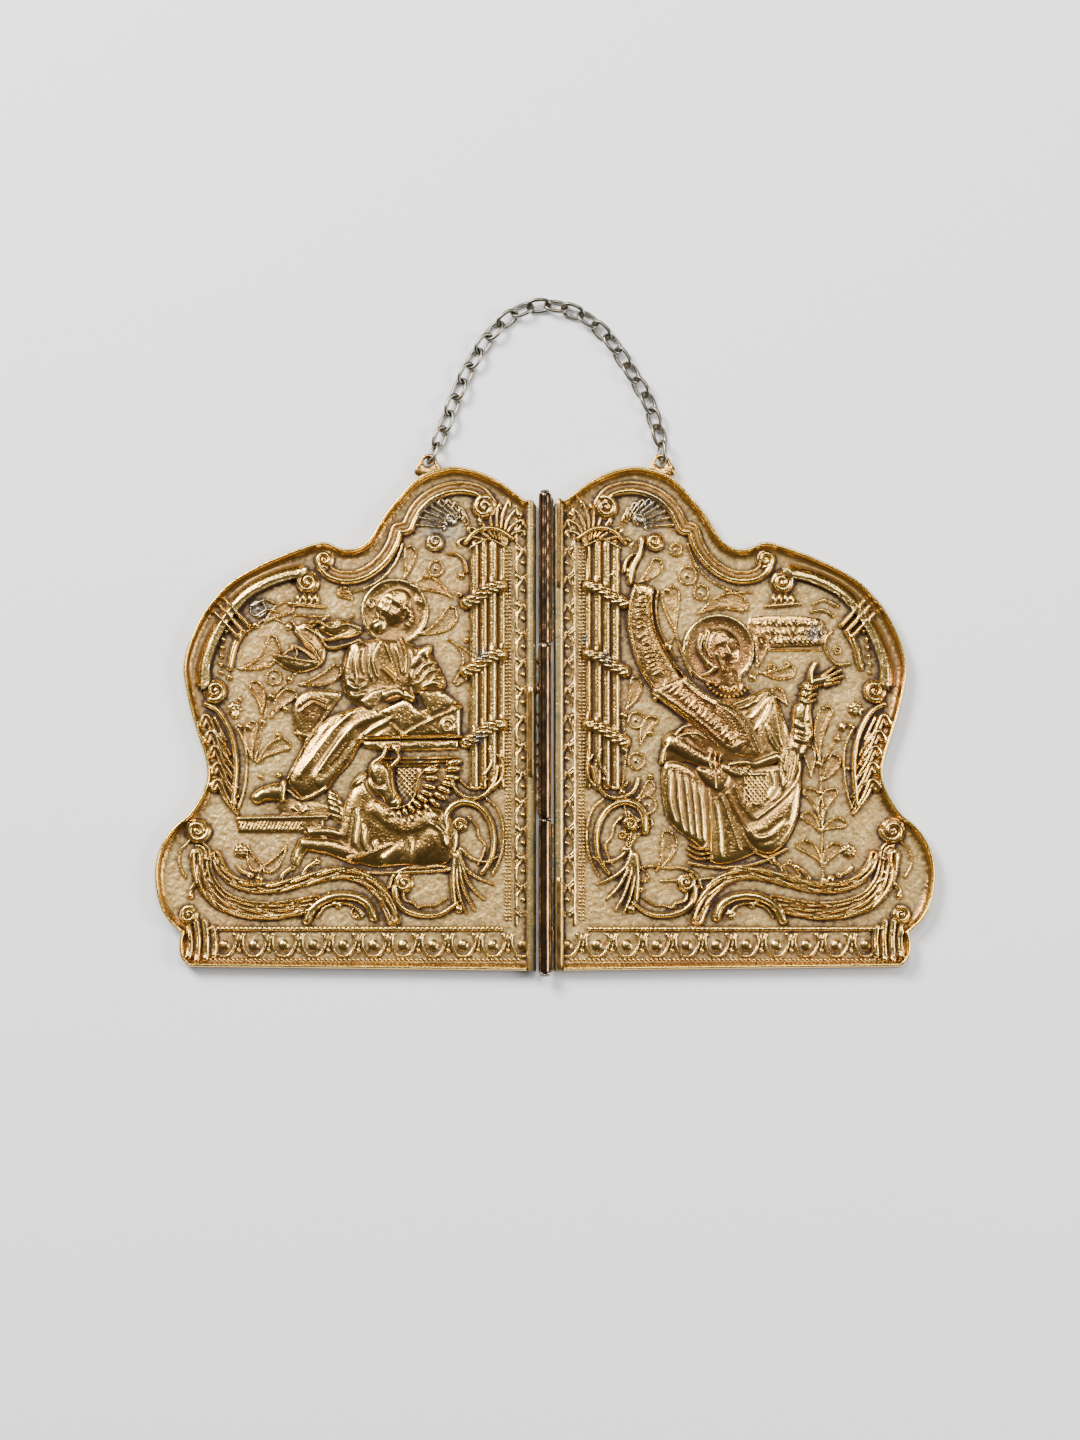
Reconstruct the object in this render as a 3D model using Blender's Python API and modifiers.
"""Travelling icon of two cast brass leaves, lying open on its back.

Metres, +Z up. The relief faces +Z, the hinge runs along Y at x = 0 and the
carrying chain arches from a lug on one leaf to a lug on the other, towards +Y.
The origin is under the middle of the whole thing, on the surface it lies on.
"""

import math

import bmesh
import bpy
import numpy as np
from mathutils import Matrix, Vector

MM = 0.001

# Leaves
LEAF_WIDTH = 83.2 * MM
LEAF_HEIGHT = 111.4 * MM
LIP_HEIGHT = 3.4 * MM
LIP_WIDTH = 0.75 * MM
HOLLOW_HEIGHT = 1.55 * MM
HOLLOW_WIDTH = 3.1 * MM
FIELD_HEIGHT = 2.0 * MM
FLANGE_HEIGHT = 2.45 * MM
FLANGE_WIDTH = 1.9 * MM
LEAF_TRIANGLES = 2450

# Hinge
CLEARANCE = 0.3 * MM
KNUCKLE_DIAMETER = 2.8 * MM
KNUCKLE_SIDES = 20
PIN_DIAMETER = 1.0 * MM
PIN_HEAD_DIAMETER = 2.1 * MM
PIN_HEAD_THICKNESS = 0.6 * MM
PIN_SIDES = 14
AXIS_ABOVE_LIP = 0.2 * MM
EDGE_CLEARANCE = 0.55 * MM
HINGE_LENGTH = 105.6 * MM
HINGE_BELOW_FOOT = 0.5 * MM
MIDDLE_KNUCKLE_SHARE = 0.366
STRAP_LENGTH = 19.8 * MM
STRAP_REACH = 3.7 * MM
STRAP_THICKNESS = 0.4 * MM

# Lugs
LUG_HOLE_DIAMETER = 2.1 * MM
LUG_RADIUS = 1.95 * MM
LUG_BASE = 6.0 * MM
LUG_THICKNESS = 1.0 * MM
LUG_UNDERSIDE = 1.15 * MM
LUG_ARC_STEPS = 9

# Chain
LINK_LENGTH = 5.7 * MM
LINK_WIDTH = 3.8 * MM
LINK_WIRE = 0.8 * MM
LINK_PLAY = 0.2 * MM
LINK_TILT = math.radians(33)
END_LINK_TILT = math.radians(66)
LINK_CORNERS = 5
CHAIN_RISE = 35.5 * MM

# The leaf is laid out from the photograph: columns counted from the hinge axis
# outwards and rows counted downwards, in the photograph's pixels.
PHOTO_EDGE = 9
PHOTO_REACH = 387
PHOTO_CREST = 464.8
PHOTO_FOOT = 971.5
PHOTO_LUG_HOLE = (117, 460)

AXIS_HEIGHT = LIP_HEIGHT + AXIS_ABOVE_LIP
LEAF_EDGE = KNUCKLE_DIAMETER / 2 + EDGE_CLEARANCE
ACROSS = LEAF_WIDTH / (PHOTO_REACH - PHOTO_EDGE)
UPWARDS = LEAF_HEIGHT / (PHOTO_FOOT - PHOTO_CREST)

OUTLINE_CREST = [
    (20, 499), (35, 487), (49, 477.5), (64, 470.5), (78, 466.3), (93, 464.8), (111, 468.5), (126, 475),
    (137, 484), (147, 496), (158, 509), (168, 524.5), (174, 535), (181, 543), (191, 548), (203, 548), (216, 542.3),
]
OUTLINE_SIDE = [
    (216, 542.3), (225, 541.8), (240, 546), (262, 554), (284, 563.8), (303, 574), (318, 584.5), (330, 597.5),
    (341, 612), (351, 631), (358, 650), (361, 668), (359.5, 684), (354, 710), (346, 736), (339, 757), (336, 776),
    (339, 790), (346, 804), (355, 816.6), (366, 825.5), (375.5, 836.7), (382, 849), (386, 863), (387, 877),
    (385, 895), (380, 911), (372, 923.5), (360, 934),
]
OUTLINE_FOOT = [(360, 934), (362, 942), (361.7, 951), (359.5, 960), (352, 967.5)]
OUTLINE_HINGE_EDGE = [(352, 967.5), (9, 971.5), (9, 505), (12, 499.5), (20, 499)]

# Frame carving, the same on both leaves: path, half width in pixels, height in millimetres
FRAME_RIDGES = {
    "arch": ([(61, 506), (52, 500), (56, 489), (68, 482), (85, 478), (104, 481), (121, 489), (132, 500),
              (137, 512), (141, 521), (151, 526), (157, 540), (165, 553), (178, 563), (195, 569), (210, 567),
              (221, 559)], 8, 1.15),
    "shoulder_outer": ([(250, 572), (270, 577), (291, 585), (306, 597), (319, 612), (328, 630), (335, 650),
                        (339, 675)], 6, 1.0),
    "shoulder_inner": ([(254, 598), (272, 606), (290, 620), (303, 636), (311, 655), (316, 677)], 5, 0.8),
    "garland_rail": ([(343, 703), (331, 708), (322, 718), (313, 734), (308, 752), (307, 772), (309, 792),
                      (311, 808)], 5, 1.0),
    "garland_inner_rail": ([(309, 730), (303, 741), (298, 756), (297.5, 778), (300, 797), (305, 809)], 3, 0.6),
    "foot_rail": ([(326, 860), (318, 872), (304, 884), (288, 890), (270, 891), (250, 888), (228, 881), (210, 876),
                   (195, 875), (178, 882), (166, 893), (158, 907), (155, 921)], 5, 0.95),
    "lower_rail": ([(345, 874), (340, 890), (329, 902), (315, 909), (296, 914), (275, 915), (255, 911),
                    (240, 904)], 4.5, 0.9),
    "bow": ([(238, 920), (232, 907), (219, 899), (206, 897), (192, 898), (180, 905), (173, 913), (172, 921)],
            4, 0.8),
    "cloud": ([(138, 875), (149, 881), (150, 893), (146, 904), (134, 911.5), (118, 915), (100, 912), (86, 904)],
              4.5, 0.9),
    "cartouche": ([(56, 880), (47, 868), (43, 850), (42, 830), (47, 812), (58, 804), (72, 803), (85, 810),
                   (90, 822), (84, 834), (73, 836), (67, 828)], 4.5, 0.95),
    "capital": ([(35, 537), (44, 529), (56, 526), (70, 530), (79, 541)], 5, 1.0),
    "column_base": ([(89, 785), (81, 796), (67, 797), (55, 788), (48, 766)], 5, 1.0),
    "rope_row": ([(44, 929), (332, 929)], 2.6, 0.5),
    "bead_column": ([(37, 512), (37, 925)], 2.6, 0.5),
}
FRAME_VOLUTES = {
    "arch_inner": (61, 506, 13, 1.2),
    "arch_outer": (222, 559, 8, 1.0),
    "console": (237, 582, 12.5, 1.3),
    "side": (329, 692, 12, 1.3),
    "lower": (345, 834, 13, 1.25),
    "foot": (354, 916, 9.5, 1.1),
    "cloud": (140, 885, 9, 1.0),
    "rosette": (309, 711, 8, 0.8),
}
COLUMN_SPAN = (544, 786)
COLUMN_FLUTES = (54, 62.5, 71)
COLUMN_WRAPS = (594, 662, 732)
GARLAND_LOBES = [(336, 724), (331, 739), (327, 754), (324, 773), (323, 793)]
FOOT_LOBES = (331, 339, 347)
EGG_ROW = (946, 29, 34, 320)
RING_ROW = (25, 28, 520, 925)

# Each relief: what stands on it as mounds (column, row, half width, half height,
# height in mm, turn in degrees), limbs (from, to, two half widths, height) and slabs
LEFT_RELIEF = {
    "mounds": {
        "halo": (151, 609, 33, 33, 0.55, 0), "head": (147, 609, 15, 19, 1.35, 20),
        "beard": (159, 623, 10, 11, 1.2, 30), "chest": (163, 668, 34, 34, 1.05, 0),
        "sleeve": (116, 668, 14, 28, 1.15, 0), "hand": (146, 694, 12, 7, 1.25, 10),
        "cushion": (229, 712, 19, 24, 0.75, 0), "cloak": (222, 650, 34, 26, 0.6, -30),
        "inkwell": (97, 727, 8, 7, 1.0, 0), "foot": (278, 790, 14, 7, 1.0, 0),
        "ox_head": (156, 788, 11, 21, 1.3, -20), "ox_chest": (176, 832, 28, 28, 1.05, 0),
        "ox_body": (125, 838, 42, 26, 1.0, 0), "ox_knee": (233, 845, 9, 7, 0.9, 0),
        "crest_plume": (112, 530, 22, 16, 0.6, 0), "crest_scroll": (106, 541, 9, 9, 0.8, 0),
    },
    "limbs": {
        "thigh": ((180, 722), (238, 775), 24, 19, 1.2), "shin": ((206, 745), (246, 790), 18, 14, 1.1),
        "ox_foreleg": ((196, 850), (236, 846), 9, 7, 0.95), "ox_shin": ((236, 848), (249, 864), 6, 5, 0.8),
        "wing_top": ((158, 822), (92, 776), 9, 8, 1.3), "wing_middle": ((150, 832), (92, 800), 9, 8, 1.2),
        "step": ((305, 826), (218, 822), 7, 7, 0.7), "bottom_leaf": ((143, 876), (96, 878), 7, 6, 0.6),
    },
    "slabs": {
        "book": ([(166, 705), (132, 692), (88, 707), (116, 724), (141, 737)], 1.15),
        "table": ([(187, 737), (85, 737), (85, 762), (187, 756)], 0.8),
        "desk": ([(150, 762), (96, 762), (96, 800), (122, 800)], 0.45),
    },
}
RIGHT_RELIEF = {
    "mounds": {
        "halo": (174, 650, 34, 34, 0.6, 0), "head": (176, 650, 20, 22, 1.4, 0),
        "chest": (200, 722, 40, 40, 1.05, 0), "pointing_hand": (272, 672, 13, 12, 1.1, 0),
        "hand": (197, 768, 16, 10, 1.35, 10), "lap": (219, 832, 34, 26, 1.3, -30),
        "crest_plume": (112, 530, 22, 16, 0.6, 0), "crest_scroll": (111, 541, 9, 9, 0.8, 0),
    },
    "limbs": {
        "raised_arm": ((256, 744), (260, 700), 14, 9, 1.2), "lower_arm": ((130, 757), (182, 765), 15, 10, 1.3),
        "rod": ((205, 763), (231, 759), 6, 6, 1.3), "hip": ((150, 780), (235, 770), 18, 18, 1.0),
    },
    "slabs": {
        "banner": ([(90, 585), (84, 626), (98, 674), (132, 713), (174, 749), (215, 755), (178, 711), (125, 660),
                    (108, 627), (108, 588)], 0.75),
        "plaque": ([(204, 617), (279, 617), (279, 649), (204, 649)], 0.45),
        "skirt": ([(119, 769), (240, 769), (236, 850), (196, 865), (144, 858), (119, 820)], 0.75),
    },
}
SKIRT_FOLDS = [((128, 772), (136, 842)), ((147, 775), (158, 855)), ((168, 790), (176, 858)),
               ((188, 795), (205, 860))]

GRID_STEP = 2.0
GRID_MARGIN = 8.0

# The arch of the chain, as shares of half its span and of its rise
CHAIN_SHAPE = [
    (-0.923, 0.118), (-0.855, 0.248), (-0.778, 0.396), (-0.684, 0.557), (-0.556, 0.724), (-0.393, 0.873),
    (-0.197, 0.972), (-0.01, 1.0), (0.188, 0.978), (0.385, 0.904), (0.573, 0.768), (0.744, 0.576),
    (0.884, 0.396), (0.962, 0.222), (1.006, 0.09),
]


def clear_scene():
    """Removes every object, so that only the icon is in the file."""
    for old in list(bpy.data.objects):
        bpy.data.objects.remove(old, do_unlink=True)


def new_collection(name):
    collection = bpy.data.collections.new(name)
    bpy.context.scene.collection.children.link(collection)
    return collection


def metal(name, colour, roughness):
    """A plain metal for the solids."""
    material = bpy.data.materials.new(name)
    material.use_nodes = True
    shader = material.node_tree.nodes["Principled BSDF"]
    shader.inputs["Base Color"].default_value = (*colour, 1.0)
    shader.inputs["Roughness"].default_value = roughness
    shader.inputs["Metallic"].default_value = 1.0
    return material


def add_object(name, data, collection, material=None):
    thing = bpy.data.objects.new(name, data)
    collection.objects.link(thing)
    if material and not data.materials:
        data.materials.append(material)
    return thing


def as_cutter(thing):
    """A cutter is drawn as a wire and is no part of the icon."""
    thing.hide_render = True
    thing.display_type = "WIRE"
    return thing


def boolean(thing, other, operation):
    modifier = thing.modifiers.new(operation.title(), "BOOLEAN")
    modifier.operation = operation
    modifier.object = other
    return modifier


def smooth_path(points, steps=5):
    """A Catmull-Rom curve through the points, with steps pieces between each two."""
    knots = np.array([points[0], *points, points[-1]], float)
    share = (np.arange(steps) / steps)[:, None]
    pieces = []
    for before, start, end, after in zip(knots, knots[1:], knots[2:], knots[3:]):
        pieces.append(0.5 * (2 * start + (end - before) * share
                             + (2 * before - 5 * start + 4 * end - after) * share ** 2
                             + (3 * start - before - 3 * end + after) * share ** 3))
    return np.vstack([*pieces, knots[-1:]])


def leaf_x(column, side):
    """Metres from the hinge axis, to the left for side -1 and to the right for side 1."""
    return side * (LEAF_EDGE + (column - PHOTO_EDGE) * ACROSS)


def foot_y():
    """The leaves' foot, placed so that the whole depth is centred on the origin."""
    below = HINGE_BELOW_FOOT + CLEARANCE + PIN_HEAD_THICKNESS
    link_half_width = (LINK_WIDTH - LINK_WIRE) / 2 * math.cos(LINK_TILT) + LINK_WIRE / 2
    above = (PHOTO_FOOT - PHOTO_LUG_HOLE[1]) * UPWARDS + CHAIN_RISE + link_half_width
    return (below - above) / 2


def leaf_y(row):
    return foot_y() + (PHOTO_FOOT - row) * UPWARDS


def leaf_outline():
    """The leaf's outline as columns and rows, smooth between its four corners."""
    strokes = [smooth_path(OUTLINE_CREST, 3), smooth_path(OUTLINE_SIDE, 3), smooth_path(OUTLINE_FOOT, 3)]
    return np.vstack([*[stroke[:-1] for stroke in strokes], OUTLINE_HINGE_EDGE[:-1]])


def distance_to_path(columns, rows, path):
    """The distance from each grid point to the nearest stretch of the path."""
    nearest = np.full(columns.shape, np.inf)
    for (x0, y0), (x1, y1) in zip(path, path[1:]):
        length = max((x1 - x0) ** 2 + (y1 - y0) ** 2, 1e-9)
        along = np.clip(((columns - x0) * (x1 - x0) + (rows - y0) * (y1 - y0)) / length, 0, 1)
        gap = np.hypot(columns - x0 - along * (x1 - x0), rows - y0 - along * (y1 - y0))
        nearest = np.minimum(nearest, gap)
    return nearest


def inside_outline(columns, rows, loop):
    """True where a point lies inside the closed loop, by counting crossings."""
    inside = np.zeros(columns.shape, bool)
    for (x0, y0), (x1, y1) in zip(loop, np.roll(loop, -1, axis=0)):
        if y0 == y1:
            continue
        crosses = (rows < y0) != (rows < y1)
        inside ^= crosses & (columns < x0 + (rows - y0) / (y1 - y0) * (x1 - x0))
    return inside


class Relief:
    """The heights of one leaf's face over a grid of columns and rows."""

    def __init__(self):
        across = np.arange(PHOTO_EDGE - GRID_MARGIN, PHOTO_REACH + GRID_MARGIN + GRID_STEP, GRID_STEP)
        down = np.arange(PHOTO_CREST - GRID_MARGIN, PHOTO_FOOT + GRID_MARGIN + GRID_STEP, GRID_STEP)
        self.columns, self.rows = np.meshgrid(across, down)
        self.carving = np.zeros(self.columns.shape)

    def raise_to(self, height):
        self.carving = np.maximum(self.carving, height)

    def ridge(self, path, half_width, height):
        """A round moulding along a path."""
        share = distance_to_path(self.columns, self.rows, path) / half_width
        self.raise_to(height * MM * np.sqrt(np.clip(1 - share ** 2, 0, 1)))

    def mound(self, column, row, half_width, half_height, height, turn=0.0):
        """Half an ellipsoid, turned in the plane of the leaf."""
        angle = math.radians(turn)
        across = (self.columns - column) * math.cos(angle) + (self.rows - row) * math.sin(angle)
        down = (self.rows - row) * math.cos(angle) - (self.columns - column) * math.sin(angle)
        share = (across / half_width) ** 2 + (down / half_height) ** 2
        self.raise_to(height * MM * np.sqrt(np.clip(1 - share, 0, 1)))

    def limb(self, start, end, start_width, end_width, height):
        """A round limb that tapers from start to end."""
        (x0, y0), (x1, y1) = start, end
        length = (x1 - x0) ** 2 + (y1 - y0) ** 2
        along = np.clip(((self.columns - x0) * (x1 - x0) + (self.rows - y0) * (y1 - y0)) / length, 0, 1)
        gap = np.hypot(self.columns - x0 - along * (x1 - x0), self.rows - y0 - along * (y1 - y0))
        share = gap / (start_width + (end_width - start_width) * along)
        self.raise_to(height * MM * np.sqrt(np.clip(1 - share ** 2, 0, 1)))

    def slab(self, corners, height, bevel=3.0):
        """A flat-topped form with sloping edges."""
        loop = np.array(corners, float)
        edge = distance_to_path(self.columns, self.rows, np.vstack([loop, loop[:1]]))
        inside = inside_outline(self.columns, self.rows, loop)
        self.raise_to(np.where(inside, height * MM * np.clip(edge / bevel, 0, 1), 0))

    def volute(self, column, row, radius, height):
        """A raised disc with a sunk ring round its eye."""
        reach = np.hypot(self.columns - column, self.rows - row) / radius
        profile = np.where(reach < 0.35, 1.0 - reach * 0.6, 0.72 + 0.28 * np.sin((reach - 0.35) / 0.5 * math.pi / 2))
        self.raise_to(height * MM * np.where(reach < 1, np.minimum(profile, (1 - reach) * 6), 0))

    def surface(self):
        """The carving on its field, inside a hollow moulding and a raised lip.

        Along the hinge the leaf has a plain flange in place of the lip.
        """
        rim = np.vstack([*[smooth_path(part, 3) for part in (OUTLINE_CREST, OUTLINE_SIDE, OUTLINE_FOOT)],
                         OUTLINE_HINGE_EDGE[:2]])
        inwards = distance_to_path(self.columns, self.rows, rim) * ACROSS
        outside = ~inside_outline(self.columns, self.rows, leaf_outline())
        from_edge = (self.columns - PHOTO_EDGE) * ACROSS
        sweep = np.clip((inwards - LIP_WIDTH) / HOLLOW_WIDTH, 0, 1)
        field = HOLLOW_HEIGHT + (FIELD_HEIGHT - HOLLOW_HEIGHT) * sweep ** 1.5
        face = field + self.carving * np.clip((inwards - LIP_WIDTH) / (2 * LIP_WIDTH), 0, 1)
        face = np.minimum(face, LIP_HEIGHT)
        face = np.where(from_edge < FLANGE_WIDTH, FLANGE_HEIGHT, face)
        lip = (inwards < LIP_WIDTH) & (from_edge > FLANGE_WIDTH)
        face = np.where(lip, LIP_HEIGHT, face)
        beyond = np.where(from_edge > FLANGE_WIDTH, LIP_HEIGHT, FLANGE_HEIGHT)
        return np.where(outside, beyond, face)


def carve_frame(relief):
    """Arches, volutes, garland, column and borders, alike on both leaves."""
    for path, half_width, height in FRAME_RIDGES.values():
        relief.ridge(smooth_path(path, 3) if len(path) > 2 else path, half_width, height)
    for column, row, radius, height in FRAME_VOLUTES.values():
        relief.volute(column, row, radius, height)
    top, bottom = COLUMN_SPAN
    for flute in COLUMN_FLUTES:
        relief.ridge([(flute, top), (flute, bottom)], 4.6, 0.85)
    for row in COLUMN_WRAPS:
        relief.limb((47, row - 11), (78, row + 11), 6, 6, 1.15)
    for column, row in GARLAND_LOBES:
        relief.limb((column - 17, row + 10), (column, row), 3, 4.5, 0.8)
    for column in FOOT_LOBES:
        relief.limb((column, 925), (column, 953), 4, 4, 0.8)
    row, pitch, first, last = EGG_ROW
    for column in np.arange(first, last, pitch):
        relief.mound(column, row, 11, 9, 0.75)
    column, pitch, first, last = RING_ROW
    for row in np.arange(first, last, pitch):
        relief.mound(column, row, 7, 9, 0.6)


def carve_figures(relief, forms):
    """The figures and furniture of one leaf."""
    for mound in forms["mounds"].values():
        relief.mound(*mound)
    for limb in forms["limbs"].values():
        relief.limb(*limb)
    for corners, height in forms["slabs"].values():
        relief.slab(corners, height)


def relief_block(relief, side):
    """A block whose top is the relief and whose back is flat, as a mesh."""
    rows, columns = relief.columns.shape
    bm = bmesh.new()
    bmesh.ops.create_grid(bm, x_segments=columns - 1, y_segments=rows - 1, size=1.0)
    heights = relief.surface()
    place_x = leaf_x(relief.columns, side)
    place_y = leaf_y(relief.rows)
    for vertex in bm.verts:
        column = round((vertex.co.x + 1) / 2 * (columns - 1))
        row = round((vertex.co.y + 1) / 2 * (rows - 1))
        vertex.co = (place_x[row, column], place_y[row, column], heights[row, column])
    rim = [edge for edge in bm.edges if edge.is_boundary]
    walls = bmesh.ops.extrude_edge_only(bm, edges=rim)["geom"]
    for vertex in (item for item in walls if isinstance(item, bmesh.types.BMVert)):
        vertex.co.z = 0.0
    bmesh.ops.contextual_create(bm, geom=[edge for edge in bm.edges if edge.is_boundary])
    bmesh.ops.triangulate(bm, faces=bm.faces[:])
    bmesh.ops.recalc_face_normals(bm, faces=bm.faces[:])
    mesh = bpy.data.meshes.new("relief_block")
    bm.to_mesh(mesh)
    bm.free()
    return mesh


def flat_outline(name, points, low, high, collection, holes=()):
    """A flat outline in the XY plane, extruded from low to high, made a mesh."""
    curve = bpy.data.curves.new(name, "CURVE")
    curve.dimensions = "2D"
    curve.fill_mode = "BOTH"
    curve.extrude = (high - low) / 2
    for loop in (points, *holes):
        spline = curve.splines.new("POLY")
        spline.points.add(len(loop) - 1)
        for point, (x, y) in zip(spline.points, loop):
            point.co = (x, y, 0, 1)
        spline.use_cyclic_u = True
    drawn = add_object(name + "_curve", curve, collection)
    drawn.location.z = (high + low) / 2
    bpy.context.view_layer.update()
    mesh = bpy.data.meshes.new_from_object(drawn.evaluated_get(bpy.context.evaluated_depsgraph_get()))
    bm = bmesh.new()
    bm.from_mesh(mesh)
    bmesh.ops.remove_doubles(bm, verts=bm.verts[:], dist=1e-6)
    bmesh.ops.recalc_face_normals(bm, faces=bm.faces[:])
    bm.to_mesh(mesh)
    bm.free()
    solid = add_object(name, mesh, collection)
    solid.matrix_world = drawn.matrix_world.copy()
    bpy.data.objects.remove(drawn, do_unlink=True)
    return as_cutter(solid)


def lug_hole(side):
    """The middle of the lug's hole."""
    return Vector((leaf_x(PHOTO_LUG_HOLE[0], side), leaf_y(PHOTO_LUG_HOLE[1])))


def lug_solid(side, cutters):
    """An ear with a rounded top round the hole, which runs into the leaf's crest."""
    hole = lug_hole(side)
    depth = LUG_RADIUS + CLEARANCE * 4
    turn = [math.pi * step / LUG_ARC_STEPS for step in range(LUG_ARC_STEPS + 1)]
    ear = [(hole.x + LUG_RADIUS * math.cos(angle), hole.y + LUG_RADIUS * math.sin(angle)) for angle in turn]
    ear += [(hole.x - LUG_BASE / 2, hole.y - depth), (hole.x + LUG_BASE / 2, hole.y - depth)]
    circle = [math.tau * step / (2 * LUG_ARC_STEPS) for step in range(2 * LUG_ARC_STEPS)]
    bore = [(hole.x + LUG_HOLE_DIAMETER / 2 * math.cos(angle), hole.y + LUG_HOLE_DIAMETER / 2 * math.sin(angle))
            for angle in circle]
    name = "lug_left" if side < 0 else "lug_right"
    return flat_outline(name, ear, LUG_UNDERSIDE, LUG_UNDERSIDE + LUG_THICKNESS, cutters, holes=[bore])


def make_leaf(name, side, forms, parts, cutters, brass):
    """One cast leaf: the relief, thinned, cut to its outline, with its lug."""
    relief = Relief()
    carve_frame(relief)
    carve_figures(relief, forms)
    if forms is RIGHT_RELIEF:
        for start, end in SKIRT_FOLDS:
            relief.limb(start, end, 6, 7, 1.0)
    block = relief_block(relief, side)
    leaf = add_object(name, block, parts, brass)
    thin = leaf.modifiers.new("Thin", "DECIMATE")
    thin.ratio = LEAF_TRIANGLES / len(block.polygons)
    outline = [(leaf_x(column, side), leaf_y(row)) for column, row in leaf_outline()]
    prism = flat_outline(name + "_outline", outline, -LIP_HEIGHT, 3 * LIP_HEIGHT, cutters)
    boolean(leaf, prism, "INTERSECT")
    boolean(leaf, lug_solid(side, cutters), "UNION")
    return leaf


def cylinder_along_y(name, radius, start, end, sides, collection, material=None):
    """A cylinder on the hinge axis, from y = start to y = end."""
    bm = bmesh.new()
    bmesh.ops.create_cone(bm, cap_ends=True, segments=sides, radius1=radius, radius2=radius, depth=end - start)
    bm.transform(Matrix.Rotation(-math.pi / 2, 4, "X"))
    mesh = bpy.data.meshes.new(name)
    bm.to_mesh(mesh)
    bm.free()
    mesh.shade_smooth()
    mesh.set_sharp_from_angle(angle=math.radians(40))
    rod = add_object(name, mesh, collection, material)
    rod.location = (0, (start + end) / 2, AXIS_HEIGHT)
    return rod


def make_knuckle(name, side, start, end, strap_start, strap_end, parts, cutters, copper):
    """A tube round the pin, with a strap that lies over the leaf's flange."""
    knuckle = cylinder_along_y(name, KNUCKLE_DIAMETER / 2, start, end, KNUCKLE_SIDES, parts, copper)
    bore_radius = PIN_DIAMETER / 2 + CLEARANCE
    inner_end = side * (bore_radius + CLEARANCE)
    outer_end = side * STRAP_REACH
    top = LIP_HEIGHT - CLEARANCE / 6
    bm = bmesh.new()
    bmesh.ops.create_cube(bm, size=1.0)
    size = (abs(outer_end - inner_end), strap_end - strap_start, STRAP_THICKNESS)
    middle = ((inner_end + outer_end) / 2, (strap_start + strap_end) / 2, top - STRAP_THICKNESS / 2)
    bm.transform(Matrix.Translation(middle) @ Matrix.Diagonal((*size, 1)))
    mesh = bpy.data.meshes.new(name + "_strap")
    bm.to_mesh(mesh)
    bm.free()
    strap = as_cutter(add_object(name + "_strap", mesh, cutters))
    bore = as_cutter(cylinder_along_y(name + "_bore", bore_radius, start - CLEARANCE, end + CLEARANCE,
                                      PIN_SIDES, cutters))
    boolean(knuckle, strap, "UNION")
    boolean(knuckle, bore, "DIFFERENCE")
    return knuckle


def make_hinge(parts, cutters, copper, steel):
    """Three knuckles on one pin. The outer two are the right leaf's."""
    bottom = foot_y() - HINGE_BELOW_FOOT
    top = bottom + HINGE_LENGTH
    middle_length = HINGE_LENGTH * MIDDLE_KNUCKLE_SHARE
    low_joint = bottom + (HINGE_LENGTH - middle_length) / 2
    high_joint = low_joint + middle_length
    half_gap = CLEARANCE / 2
    strap = min(STRAP_LENGTH, middle_length * 0.9)
    centre = (low_joint + high_joint) / 2
    make_knuckle("hinge_knuckle_top", 1, high_joint + half_gap, top, top - strap - PIN_DIAMETER,
                 top - PIN_DIAMETER, parts, cutters, copper)
    make_knuckle("hinge_knuckle_middle", -1, low_joint + half_gap, high_joint - half_gap,
                 centre - strap / 2, centre + strap / 2, parts, cutters, copper)
    make_knuckle("hinge_knuckle_bottom", 1, bottom, low_joint - half_gap, bottom + PIN_DIAMETER,
                 bottom + strap + PIN_DIAMETER, parts, cutters, copper)
    make_pin(bottom, top, parts, steel)


def make_pin(bottom, top, parts, steel):
    """A turned pin with a domed cap at the top and a flattened end below."""
    radius = PIN_DIAMETER / 2
    head = PIN_HEAD_DIAMETER / 2
    length = top - bottom
    cap = length + CLEARANCE
    profile = [
        (0, cap + PIN_HEAD_THICKNESS), (head * 0.6, cap + PIN_HEAD_THICKNESS * 0.85),
        (head, cap + PIN_HEAD_THICKNESS * 0.3), (head, cap), (radius, cap),
        (radius, -CLEARANCE), (head, -CLEARANCE), (head, -CLEARANCE - PIN_HEAD_THICKNESS * 0.7),
        (head * 0.7, -CLEARANCE - PIN_HEAD_THICKNESS), (0, -CLEARANCE - PIN_HEAD_THICKNESS),
    ]
    mesh = bpy.data.meshes.new("hinge_pin")
    edges = [(first, first + 1) for first in range(len(profile) - 1)]
    mesh.from_pydata([(x, 0, z) for x, z in profile], edges, [])
    pin = add_object("hinge_pin", mesh, parts, steel)
    screw = pin.modifiers.new("Turn", "SCREW")
    screw.steps = PIN_SIDES
    screw.render_steps = PIN_SIDES
    screw.use_merge_vertices = True
    screw.merge_threshold = 1e-5
    pin.rotation_euler.x = -math.pi / 2
    pin.location = (0, bottom, AXIS_HEIGHT)
    return pin


def link_curve(steel):
    """One wire link as a closed curve in its own XY plane, long along X."""
    radius = (LINK_WIDTH - LINK_WIRE) / 2
    straight = (LINK_LENGTH - LINK_WIRE) / 2 - radius
    points = []
    for end in (1, -1):
        for step in range(LINK_CORNERS):
            angle = -math.pi / 2 + math.pi * step / (LINK_CORNERS - 1)
            points.append((end * (straight + radius * math.cos(angle)), end * radius * math.sin(angle)))
    curve = bpy.data.curves.new("chain_link", "CURVE")
    curve.dimensions = "3D"
    curve.bevel_depth = LINK_WIRE / 2
    curve.bevel_resolution = 1
    spline = curve.splines.new("POLY")
    spline.points.add(len(points) - 1)
    for point, (x, y) in zip(spline.points, points):
        point.co = (x, y, 0, 1)
    spline.use_cyclic_u = True
    curve.materials.append(steel)
    return curve


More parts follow.
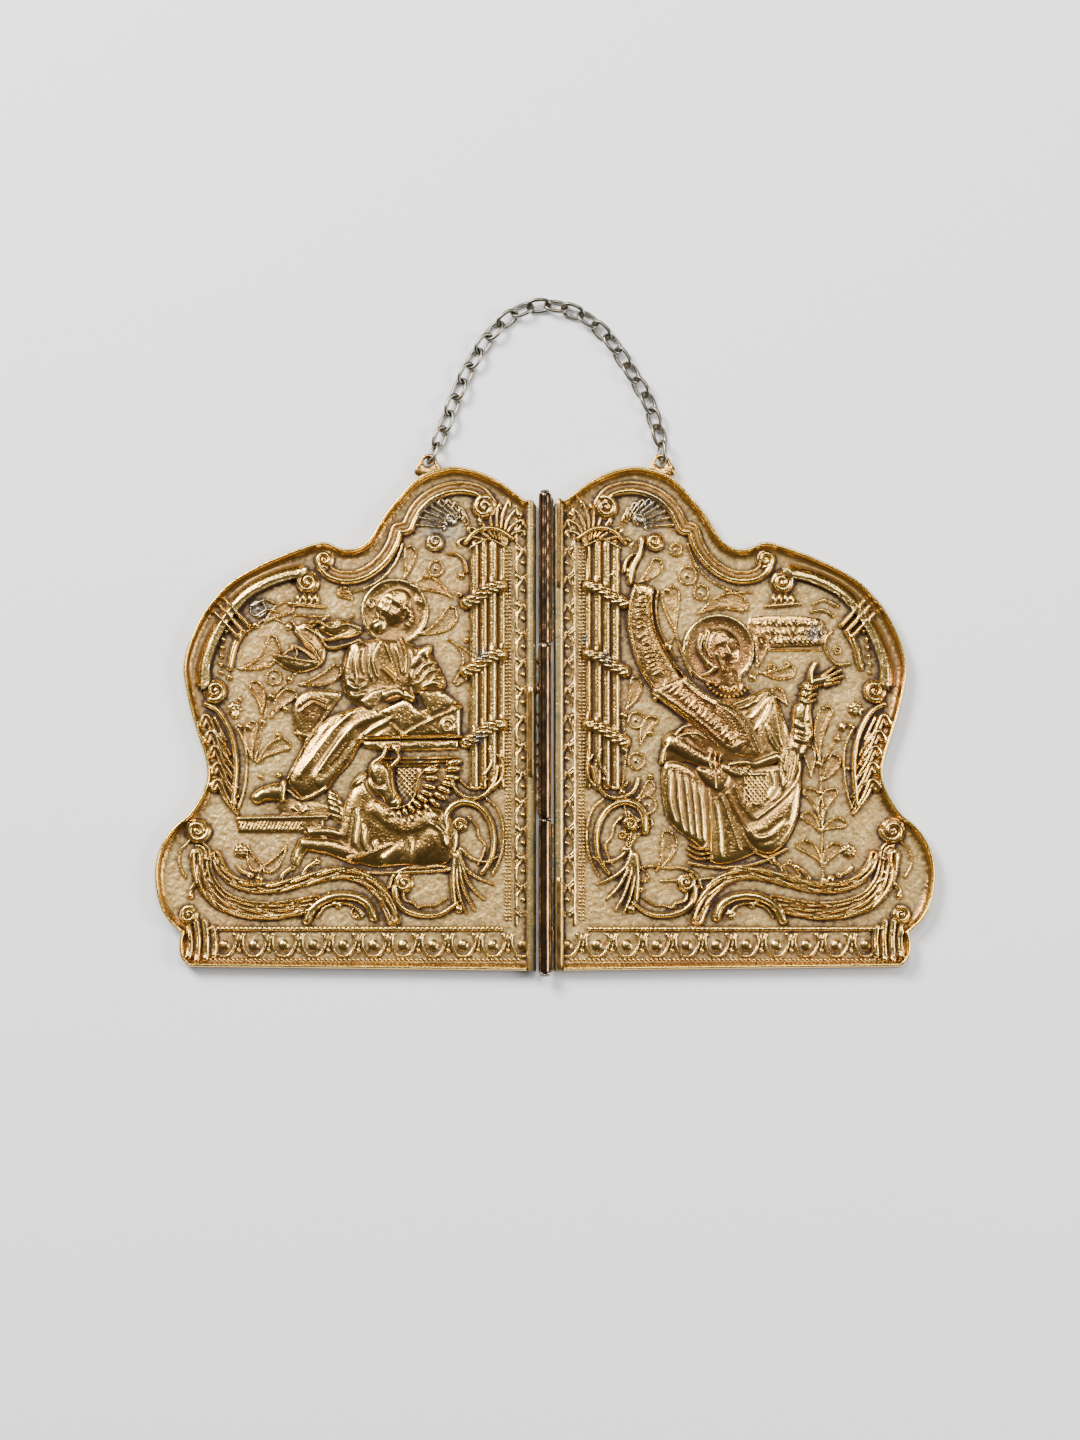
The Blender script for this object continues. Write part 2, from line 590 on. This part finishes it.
def chain_route():
    """The chain's line from the left lug's hole to the right lug's hole."""
    left = lug_hole(-1)
    right = lug_hole(1)
    half_span = (right.x - left.x) / 2
    points = [(left.x, left.y)]
    points += [(x * half_span, left.y + y * CHAIN_RISE) for x, y in CHAIN_SHAPE]
    points.append((right.x, right.y))
    return smooth_path(points, 12)


def make_chain(parts, steel):
    """Links a pitch apart along the route, leaning to either side in turn.

    The end links stand nearly upright, because they go through the lugs.
    """
    route = chain_route()
    lengths = np.concatenate([[0], np.cumsum(np.hypot(*np.diff(route, axis=0).T))])
    end_reach = (LINK_LENGTH - LINK_WIRE) / 2 - LINK_WIRE * 0.15
    free = lengths[-1] - 2 * end_reach
    longest_pitch = LINK_LENGTH - 2 * LINK_WIRE - LINK_PLAY
    count = math.ceil(free / longest_pitch) + 1
    pitch = free / (count - 1)
    radius = (LINK_WIDTH - LINK_WIRE) / 2
    curve = link_curve(steel)
    for index in range(count):
        here = end_reach + index * pitch
        x, y = (np.interp(here, lengths, route[:, axis]) for axis in (0, 1))
        before, after = here - pitch / 2, here + pitch / 2
        run_x, run_y = (np.interp(after, lengths, route[:, axis]) - np.interp(before, lengths, route[:, axis])
                        for axis in (0, 1))
        at_end = index in (0, count - 1)
        lean = END_LINK_TILT if at_end else LINK_TILT
        tilt = lean if index % 2 else -lean
        height = radius * math.sin(lean) + LINK_WIRE / 2
        link = add_object(f"chain_link_{index + 1:02d}", curve, parts)
        lug_middle = LUG_UNDERSIDE + LUG_THICKNESS / 2
        link.location = (x, y, max(height, lug_middle) if at_end else height)
        link.rotation_euler = (tilt, 0, math.atan2(run_y, run_x))


def main():
    clear_scene()
    parts = new_collection("travelling_icon")
    cutters = new_collection("cutters")
    brass = metal("brass", (0.72, 0.52, 0.24), 0.38)
    copper = metal("copper_hinge", (0.38, 0.22, 0.14), 0.35)
    steel = metal("grey_steel", (0.46, 0.44, 0.41), 0.3)
    make_leaf("leaf_left", -1, LEFT_RELIEF, parts, cutters, brass)
    make_leaf("leaf_right", 1, RIGHT_RELIEF, parts, cutters, brass)
    make_hinge(parts, cutters, copper, steel)
    make_chain(parts, steel)


main()
